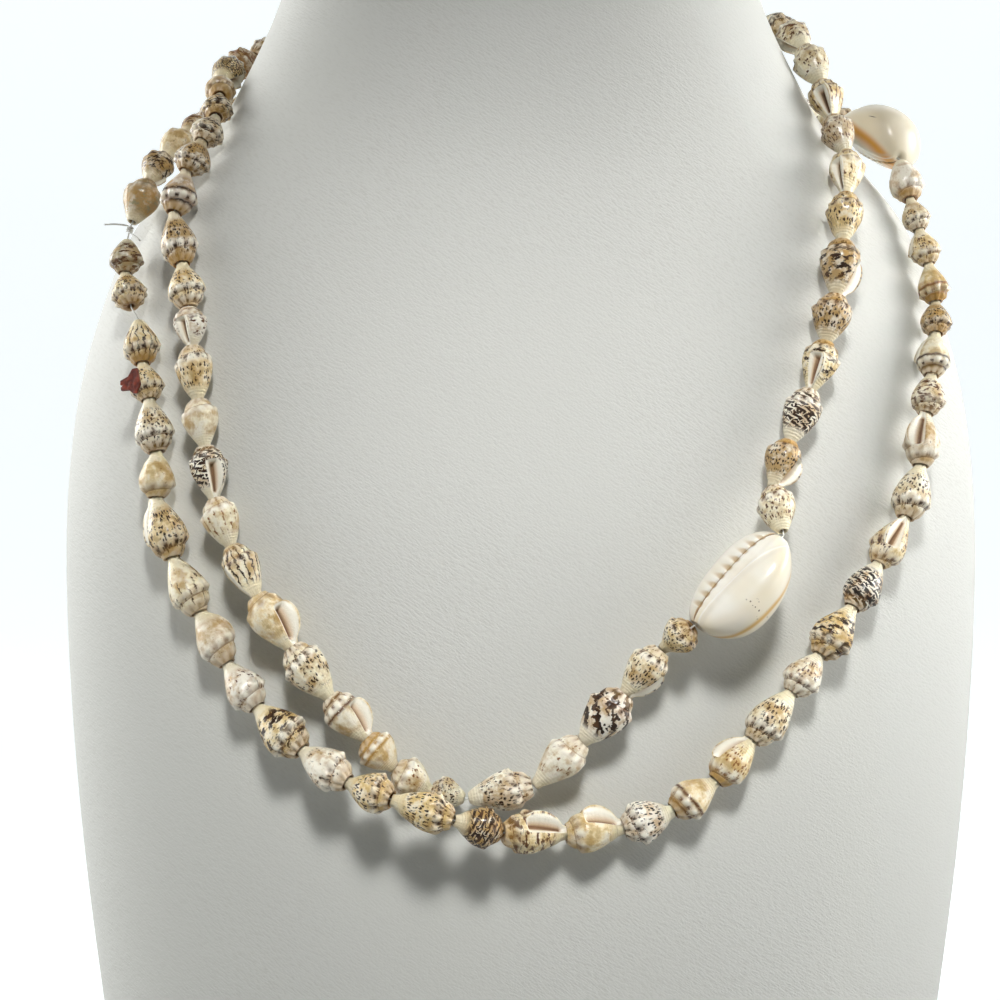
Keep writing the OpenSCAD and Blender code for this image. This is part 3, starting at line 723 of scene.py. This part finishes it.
    ridges = (along * 130.0 + wobble * 5.0).sine() * (1 - along.ramp(0.15, 0.33))
    ridges = ridges * speckle * 0.4 * (1 - inside.ramp(0.02, 0.1))
    growth = paint.noise(paint.point(around * 30, below * 1.4, whim * 30), 1.0, 2.0)
    height = ridges + growth + speckle * 0.6 + below.ramp(0.0, 0.14) * 0.5
    normal = paint.bump(height, 0.2, 1.0)
    rough = 0.36 + cloud * 0.14 + inside * 0.15
    return paint.surface(colour, rough, Normal=normal, Coat_Weight=0.5, Coat_Roughness=0.2,
                         Specular_IOR_Level=0.25)


hiddenSeed = 900


def lookOf(number):
    if number in shellLooks:
        return (*shellLooks[number], usualWing)[:8]
    rng = random.Random(hiddenSeed + number)  # shells that the photograph doesn't show
    return (rng.choice(["dots", "net", "blots", "plain", "lines", "bands"]),
            rng.choice(["cream", "ivory", "sand", "yellow", "pink", "tan", "white", "grey"]),
            rng.choice(["umber", "brown", "rust", "umber"]),
            rng.uniform(0.1, 0.9), rng.uniform(0, 0.7), rng.uniform(0.5, 0.9),
            rng.uniform(0, 0.8), rng.choice([usualWing, usualWing, 1.0]))


def facing(link, seat):  # 1 when the narrow end comes first on the thread, -1 when it comes last
    return int(np.sign(seat[3] @ (stopsNext[link] - stops[link]))) if seat else 0


seats = [None if "cowrie" in owner else shellSeat(link, solid) for link, owner, solid in beads]
forward = [facing(bead[0], seat) for bead, seat in zip(beads, seats)]
nestForm = {
    "spout": 0.33,  # outer radius of a spout, as a share of its shell's radius
    "room": 0.1,
    "holeMost": 0.42,  # widest ground hole, as a share of its shell's radius
    "holeAlone": 0.2,  # ground hole that no spout reaches into
    "deep": 0.8,
    "shallow": 0.15,
}


def follows(other, number):  # next to it on the thread, and facing the same way
    return (0 <= other < len(beads) and abs(beads[other][0] - beads[number][0]) == 1
            and forward[other] == forward[number])


def makeShells(name, node, paints, form):
    batch, start = [], 0
    for number, (_, owner, _) in enumerate(beads):
        if owner != node:
            continue
        origin, x, y, zAxis, length, radius = seats[number]
        reachIn, hole = 0.0, form["holeAlone"]
        before, after = number - forward[number], number + forward[number]
        if follows(before, number):  # the spout reaches into the neighbour's hole where it fits
            fits = form["spout"] * radius + form["room"] < form["holeMost"] * seats[before][5]
            reachIn = (form["deep"] if fits else form["shallow"]) / length
        if follows(after, number):
            spout = form["spout"] * seats[after][5] + form["room"]
            hole = min(spout, form["holeMost"] * radius) / radius
        part = shellPart(length, radius, lookOf(number), number, reachIn, hole)
        part["points"] = origin + part["points"] @ np.array([x, y, zAxis])
        part["faces"] = part["faces"] + start
        part["slots"] = np.full(len(part["faces"]), part["kind"])
        start += len(part["points"])
        batch.append(part)

    def joined(key):
        return np.concatenate([part[key] for part in batch])

    fields = ("local", "along", "inside", "tint", "mark", "dress", "whim", "knobs")
    made = addObject(name, joined("points"), joined("faces"), {key: joined(key) for key in fields},
                     paints, joined("uv"), joined("slots"))
    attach(made, "root")
    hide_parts(node)
    print(name, len(batch), "shells,", 2 * len(made.data.polygons), "triangles")


shellPaints = [shellPaint(kind) for kind in shellKinds]
makeShells("innerShells", "inner_shells", shellPaints, nestForm)
makeShells("outerShells", "outer_shells", shellPaints, nestForm)


cowrieForm = {
    # shares of the shell's width unless a note says otherwise
    "back": (2.3, 0.56, -0.13),  # power, bluntness and lean of the outline
    "base": (2.5, 0.52, 0.13),  # blunter, and broader towards the far end
    "flat": 0.78,  # height from base to back
    "backShare": 0.62,  # the back's part of that height
    "seat": 0.07,  # how far the thread runs above the widest girth
    "toothedSide": 0.87,  # the toothed side of the base is narrower than the broad one
    "cut": 0.015,  # what the drilled ends lose, as a share of the length
    "slot": 0.022,
    "slotDepth": 0.07,
    "ridgeAt": 0.2,
    "ridgeWidth": 0.035,
    "rollWidth": 0.08,
    "rollHigh": 0.022,
    "teeth": 9,
    "teethFrom": 0.08,  # as shares of the length
    "teethSpan": 0.84,
    "toothLong": 0.15,
    "toothHigh": 0.02,
    "rings": 128,
    "boreRadius": 0.45,  # millimetres
}


def cowrieSeat(link, solid, turn):
    start, along, height = threadAxis(link, solid)
    origin = start + along * height.min()
    off, reach = offAxis(solid, origin, along)
    domed = off[reach > cadForm["backFrom"] * reach.max()]  # the back reaches furthest
    back = unit(domed.mean(axis=0))
    side = np.cross(along, -back)
    mouth = math.cos(turn) * -back + math.sin(turn) * side
    return origin, mouth, np.cross(along, mouth), along, np.ptp(height), np.ptp(solid @ side)


def swellAt(t, power, blunt, lean):  # half width along the shell
    return (1 - np.abs(2 * t - 1) ** power) ** blunt * (1 + lean * (2 * t - 1))


def cowriePart(form, length, width):
    f = (1 - np.cos(np.pi * np.arange(form["rings"] + 1) / form["rings"])) / 2
    t = form["cut"] + (1 - 2 * form["cut"]) * f
    width = width / swellAt(np.linspace(0, 1, 999), *form["back"]).max()
    # degrees from the slot round the back and up to the slot again, then places across the slot
    turns = np.radians(np.concatenate([np.linspace(6, 42, 10), np.linspace(49, 304, 36),
                                       np.linspace(310, 354, 15)]))
    slot = [(-1.0, 0.0), (-0.75, 0.3), (-0.5, 0.85), (0.0, 1.0),
            (0.5, 0.85), (0.75, 0.3), (1.0, 0.0)]
    slotTurns = np.radians([355, 357, 358.5, 360, 361.5, 363, 365])
    c, d = np.cos(turns), np.sin(turns)
    toothed = d < 0  # the narrow side of the base has the long teeth
    rings, marks, grooves = [], [], []
    for place, s, b in zip(f, swellAt(t, *form["back"]), swellAt(t, *form["base"])):
        baseward = np.clip((c + 0.35) / 0.7, 0, 1)
        wide = (b * np.where(toothed, form["toothedSide"], 1.0)) * baseward + s * (1 - baseward)
        baseHigh = (1 - form["backShare"]) * form["flat"] * width * b
        backHigh = form["backShare"] * form["flat"] * width * s
        seat = form["seat"] * width * s
        x = np.where(c > 0, baseHigh * np.abs(c) ** 0.7, -backHigh * np.abs(c)) - seat
        y = width / 2 * wide * d
        phase = form["teeth"] * (place - form["teethFrom"]) / form["teethSpan"]
        crest = 0.5 + 0.5 * math.cos(2 * math.pi * phase)
        present = 1.0 if 0.1 < place < 0.9 else 0.0
        half = width * form["slot"] * min(1, 2 * b)
        fade = np.exp(-np.maximum(np.abs(y) - half, 0) / (form["toothLong"] * width))
        fade = fade * (c > 0) * present * np.where(toothed, 1.0, 0.25)
        # the two sides roll in to the slot, and the broad one has a blunt ridge along it
        swell = form["rollHigh"] * width * b * (c > 0)
        roll = swell * np.exp(-((np.abs(y) - half) / (form["rollWidth"] * width)) ** 2)
        fromRidge = y - form["ridgeAt"] * width * b
        roll += swell * np.exp(-(fromRidge / (form["ridgeWidth"] * width)) ** 2)
        roll += form["toothHigh"] * width * (crest - 0.75) * fade
        ring = [(a + r, e, place * length) for a, r, e in zip(x, roll, y)]
        for across, depth in slot:
            edge = ring[0][0] if across > 0 else ring[len(turns) - 1][0]
            reach = half * (1.5 - 1.1 * crest * present) if across < 0 else half * 0.8
            sunk = edge - form["slotDepth"] * width * b ** 2 * depth
            ring.append((sunk, reach * across, place * length))
        rings.append(ring)
        marks.append([0.0] * len(turns) + [depth * min(1, 3 * b) for _, depth in slot])
        grooves.append(list((1 - crest) * fade) + [(1 - crest) * present] * len(slot))
    columns = len(rings[0])
    bore = form["boreRadius"]
    for place in (length, 0.0):  # the drilled ends
        rings.append([(bore * math.cos(a), bore * math.sin(a), place)
                      for a in [*turns, *slotTurns]])
        marks.append([0.0] * columns)
        grooves.append([0.0] * columns)
    points = np.array(rings).reshape(-1, 3)
    faces = ringFaces(len(rings), columns)
    return points, faces, np.array(marks).ravel(), np.array(grooves).ravel(), width


cowrieLooks = {
    "frontCowrie": {
        "ringAt": -0.44,  # height of the golden ring, -1 at the back to 1 over the base
        "ringTone": tone(222, 180, 100),
        "ringWidth": 0.14,
        "flaw": "specks",
        "turn": 20,  # degrees that the mouth is turned aside
    },
    "shoulderCowrie": {
        "ringAt": 0.22,
        "ringTone": tone(232, 164, 44),
        "ringWidth": 0.22,
        "flaw": "crack",
        "turn": 0,
    },
}


def cowriePaint(name, look):
    paint = Paint(name)
    local = paint.attribute("local", "Vector")
    # -1 to 1 across and along, x over the base
    x, y, z = paint.parts(paint.attribute("form", "Vector"))
    slot = paint.attribute("slot")
    cloud = paint.noise(local, 0.13, 1.0)
    out = (y * y + z * z) ** 0.5
    base = x.ramp(0.0, 0.15)
    ring = (x + (cloud - 0.5) * 0.1).hump(look["ringAt"], look["ringWidth"])  # round the back
    inner = 1 - x.ramp(look["ringAt"] - 0.25, look["ringAt"] - 0.05)
    crest = (y - 0.33 - z * 0.17).hump(0.0, 0.04) * base  # the ridge beside the slot: a bump, with a painted highlight along its crest
    # painted shade on the far side of the ridge
    ridgeShade = (y - 0.42 - z * 0.17).hump(0.0, 0.09) * base
    groove = paint.attribute("groove")  # between the teeth
    colour = paint.layers(
        paint.mix(tone(240, 233, 215), tone(248, 244, 234), cloud.ramp(0.35, 0.65)),
        (tone(240, 220, 174), out.ramp(0.8, 1.0) * 0.25),
        (look["ringTone"], ring * (0.95 - z.ramp(0.0, 0.9) * 0.4)),
        (tone(232, 221, 196), inner * 0.6),
        # painted shade past the ridge, then a painted highlight on its crest
        (tone(224, 216, 202), ridgeShade * 0.4),
        (tone(253, 252, 249), crest * 0.6),
        (tone(192, 160, 102), groove.ramp(0.18, 0.75) * 0.7))
    if look["flaw"] == "specks":
        fine = paint.noise(local, 1.2, 2.0) - 0.5
        specks = paint.cells(local, 1.1, "F1", 1.0, "3D") + fine * 0.5
        away = ((y - 0.92) * (y - 0.92) + (z + 0.2) * (z + 0.2)) ** 0.5
        specks = (1 - specks.ramp(0.1, 0.22)) * (1 - away.ramp(0.04, 0.15))
        colour = paint.mix(colour, tone(92, 66, 40), specks * 0.9)
    else:
        crack = (x + 0.35 - (z + 0.3) * 0.5).hump(0.0, 0.03)
        crack = crack * (z + 0.3).hump(0.0, 0.12) * y.ramp(0.3, 0.5)
        colour = paint.mix(colour, tone(70, 52, 34), crack)
    # the slot: a brown tint, then dark brown along its bottom, which is painted shade of the deep
    # gap
    colour = paint.layers(
        colour,
        (tone(190, 150, 92), slot.ramp(0.1, 0.5) * 0.8),
        (tone(74, 48, 28), slot.ramp(0.4, 1.0) * (0.6 + z.ramp(-0.2, 0.4) * 0.4)))
    normal = paint.bump(cloud * 0.5 + crest, 0.3, 0.4)
    return paint.surface(colour, 0.3 + cloud * 0.06, Normal=normal, Coat_Weight=0.4,
                         Coat_Roughness=0.2, Specular_IOR_Level=0.35, Subsurface_Weight=0.08,
                         Subsurface_Radius=(1.0, 0.85, 0.65), Subsurface_Scale=mm)


def makeCowrie(name, node):
    look = cowrieLooks[name]
    link, _, solid = next(bead for bead in beads if bead[1] == node)
    origin, x, y, zAxis, length, width = cowrieSeat(link, solid, math.radians(look["turn"]))
    points, faces, slot, groove, full = cowriePart(cowrieForm, length, width)
    place = points / [0.5 * full, 0.5 * width, 0.5 * length] - [0, 0, 1]
    fields = {"local": points, "form": place, "slot": slot, "groove": groove}
    made = addObject(name, origin + points @ np.array([x, y, zAxis]), faces, fields,
                     [cowriePaint(name + "Shell", look)])
    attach(made, "root")
    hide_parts(node)
    print(name, len(made.data.polygons), "faces")


makeCowrie("frontCowrie", "front_cowrie")
makeCowrie("shoulderCowrie", "shoulder_cowrie")


threadForm = {
    "radius": 0.19,
    "sides": 8,
    "knotRadius": 0.6,
    "knotTurns": 3,
    "turnSteps": 14,  # points on each turn of the knot
    "turnApart": 0.42,
    "tail": 5.0,
    "tailWays": ((-0.97, -0.12, 0.2), (0.66, -0.68, -0.3)),
    "tailSag": 0.8,
}


def tubeTree():  # a round tube along a line of points
    tree = bpy.data.node_groups.new("nylonTube", "GeometryNodeTree")
    for name, kind in (("Line", "Geometry"), ("Radius", "Float"), ("Sides", "Int"),
                       ("Finish", "Material")):
        tree.interface.new_socket(name, in_out="INPUT", socket_type="NodeSocket" + kind)
    tree.interface.new_socket("Tube", in_out="OUTPUT", socket_type="NodeSocketGeometry")
    source, result, curve, ring, tube, smooth, real, finish = [tree.nodes.new(kind) for kind in (
        "NodeGroupInput", "NodeGroupOutput", "GeometryNodeMeshToCurve",
        "GeometryNodeCurvePrimitiveCircle", "GeometryNodeCurveToMesh",
        "GeometryNodeSetShadeSmooth", "GeometryNodeRealizeInstances", "GeometryNodeSetMaterial")]
    tube.inputs["Fill Caps"].default_value = True
    for start, end in (
            (source.outputs["Line"], curve.inputs["Mesh"]),
            (source.outputs["Radius"], ring.inputs["Radius"]),
            (source.outputs["Sides"], ring.inputs["Resolution"]),
            (curve.outputs[0], tube.inputs["Curve"]),
            (ring.outputs[0], tube.inputs["Profile Curve"]),
            (tube.outputs[0], smooth.inputs[0]),
            (smooth.outputs[0], real.inputs[0]),
            (real.outputs[0], finish.inputs["Geometry"]),
            (source.outputs["Finish"], finish.inputs["Material"]),
            (finish.outputs[0], result.inputs["Tube"])):
        tree.links.new(start, end)
    return tree


def throughTree(made, tree, inputs):  # runs a tree on an object and keeps the result as its mesh
    modifier = made.modifiers.new("build", "NODES")
    modifier.node_group = tree
    for item in tree.interface.items_tree:
        if item.item_type == "SOCKET" and item.in_out == "INPUT" and item.name in inputs:
            modifier[item.identifier] = inputs[item.name]
    bpy.context.view_layer.update()
    grown = made.evaluated_get(bpy.context.evaluated_depsgraph_get())
    mesh = bpy.data.meshes.new_from_object(grown)
    made.modifiers.remove(modifier)
    mesh.name = made.data.name
    made.data = mesh


def nylonPaint():
    paint = Paint("clearNylon")
    place = paint.objectPoint()
    cloud = paint.noise(place, 1.5, 2.0)
    colour = paint.mix(tone(204, 204, 198), tone(226, 226, 221), cloud)
    normal = paint.bump(cloud, 0.02, 0.4)
    return paint.surface(colour, 0.18 + cloud * 0.1, Normal=normal, Coat_Weight=0.5)


def makeTube(name, node, path, closed, tree, finish, form):
    mesh = bpy.data.meshes.new(name)
    count = len(path)
    lines = [(k, (k + 1) % count) for k in range(count if closed else count - 1)]
    mesh.from_pydata((np.asarray(path) * mm).tolist(), lines, [])
    made = addToScene(name, mesh)
    throughTree(made, tree, {"Radius": form["radius"] * mm, "Sides": form["sides"],
                             "Finish": finish})
    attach(made, "root")
    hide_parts(node)
    print(name, len(made.data.polygons), "faces")


def knotPath(form):
    along = unit(stops[1] - stops[-1])
    out = np.array([stops[0][0], stops[0][1], 0.0])
    out = unit(out - (out @ along) * along)
    side = np.cross(along, out)
    coil = []
    for k in range(form["turnSteps"] * form["knotTurns"] + 1):
        turn = k / form["turnSteps"]
        a = 2 * math.pi * turn
        lift = form["turnApart"] * (turn - form["knotTurns"] / 2)
        coil.append(stops[0] + form["knotRadius"] * (math.cos(a) * out + math.sin(a) * side)
                    + lift * along)
    sag = np.array([0, 0, form["tailSag"]])
    tails = [[end + np.array(way) * form["tail"] * f - sag * f * f for f in (0.25, 0.5, 0.75, 1.0)]
             for way, end in zip(form["tailWays"], (coil[0], coil[-1]))]
    return tails[0][::-1] + coil + tails[1]


tubes, nylon = tubeTree(), nylonPaint()
makeTube("nylonThread", "thread", stops, True, tubes, nylon, threadForm)
makeTube("threadKnot", "knot", knotPath(threadForm), False, tubes, nylon, threadForm)


mergeWithin = 0.002  # points of a solid nearer than this are one
chipForm = {
    "flat": 0.02,  # faces within this angle are one, in radians
    "rounding": 0.12,
    "roundingSteps": 2,
    "roundingShape": 0.6,
}


def chipPaint():
    paint = Paint("redChip")
    place = paint.objectPoint()
    cloud = paint.noise(place, 0.8, 3.0, 0.6)
    fine = paint.noise(place, 4.0, 2.0)
    colour = paint.mix(tone(88, 26, 12), tone(142, 52, 24), cloud.ramp(0.35, 0.7))
    normal = paint.bump(cloud + fine * 0.2, 0.3, 0.7)
    return paint.surface(colour, 0.3 + cloud * 0.2, Normal=normal, Coat_Weight=0.3,
                         Coat_Roughness=0.15)


def mergePoints(work):
    bmesh.ops.remove_doubles(work, verts=work.verts, dist=mergeWithin * mm)
    work.normal_update()


def reshapedCopy(name, node, reshape):  # starts from the frame's own solid
    mesh = nodes[node].data.copy()
    mesh.name = name
    mesh.materials.clear()
    for step in (mergePoints, reshape):
        work = bmesh.new()
        work.from_mesh(mesh)
        step(work)
        work.to_mesh(mesh)
        work.free()
    return addToScene(name, mesh)


def roundChip(work):
    form = chipForm
    bmesh.ops.dissolve_limit(work, angle_limit=form["flat"], verts=work.verts, edges=work.edges)
    bmesh.ops.bevel(work, geom=list(work.edges), offset=form["rounding"] * mm, affect="EDGES",
                    segments=form["roundingSteps"], profile=form["roundingShape"])
    bmesh.ops.triangulate(work, faces=work.faces)


def makeChip():
    made = reshapedCopy("redChipPiece", "red_chip", roundChip)
    made.data.materials.append(chipPaint())
    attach(made, "root")
    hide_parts("red_chip")
    print("red chip", len(made.data.polygons), "faces")


makeChip()


leatherForm = {
    "grain": 2.2,
    "dashLong": 0.75,
    "dashApart": 2.6,
    "dashAcross": 0.82,  # cosine and sine of the dashes' slope, down to the right
    "dashDown": 0.57,
    "grainDepth": 0.14,
    "joinAngle": 0.7,
    "joinShape": 1.2,
    "roundings": 2,
}


def leatherPaint(form):
    paint = Paint("whiteLeatherette")
    place = paint.objectPoint()
    x, y, z = paint.parts(place)
    cloud = paint.noise(place, 0.016, 1.0)
    fine = paint.noise(place, form["grain"], 2.0, 0.6)
    along = x * form["dashAcross"] - z * form["dashDown"]
    apart = x * form["dashDown"] + z * form["dashAcross"]
    dashes = paint.point(along * form["dashLong"], apart * form["dashApart"], y * 0.4)
    dashes = paint.noise(dashes, 1.0, 2.0)
    patch = cloud.ramp(0.35, 0.6)
    # painted shade: the grain's hollows darkened in the colour
    hollowShade = (1 - dashes.ramp(0.34, 0.5)) * (0.04 + patch * 0.1)
    colour = paint.mix(tone(206, 207, 202), tone(212, 213, 209), cloud)
    colour = paint.mix(colour, tone(172, 170, 161), hollowShade)
    height = fine * 0.8 + dashes * (0.7 + patch * 0.6)
    normal = paint.bump(height, form["grainDepth"], 0.6)
    return paint.surface(colour, 0.55 + fine * 0.1, Normal=normal, Specular_IOR_Level=0.3)


def joinFaces(work):  # four-sided faces, for the subdivision
    bmesh.ops.join_triangles(work, faces=work.faces, angle_face_threshold=leatherForm["joinAngle"],
                             angle_shape_threshold=leatherForm["joinShape"])


def makeBust(form):
    made = reshapedCopy("neckBust", "bust", joinFaces)
    made.data.shade_smooth()
    made.data.materials.append(leatherPaint(form))
    rounder = made.modifiers.new("rounder", "SUBSURF")
    rounder.levels = rounder.render_levels = form["roundings"]
    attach(made, "root")
    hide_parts("bust")
    print("bust", len(made.data.polygons), "faces before subdivision")


makeBust(leatherForm)
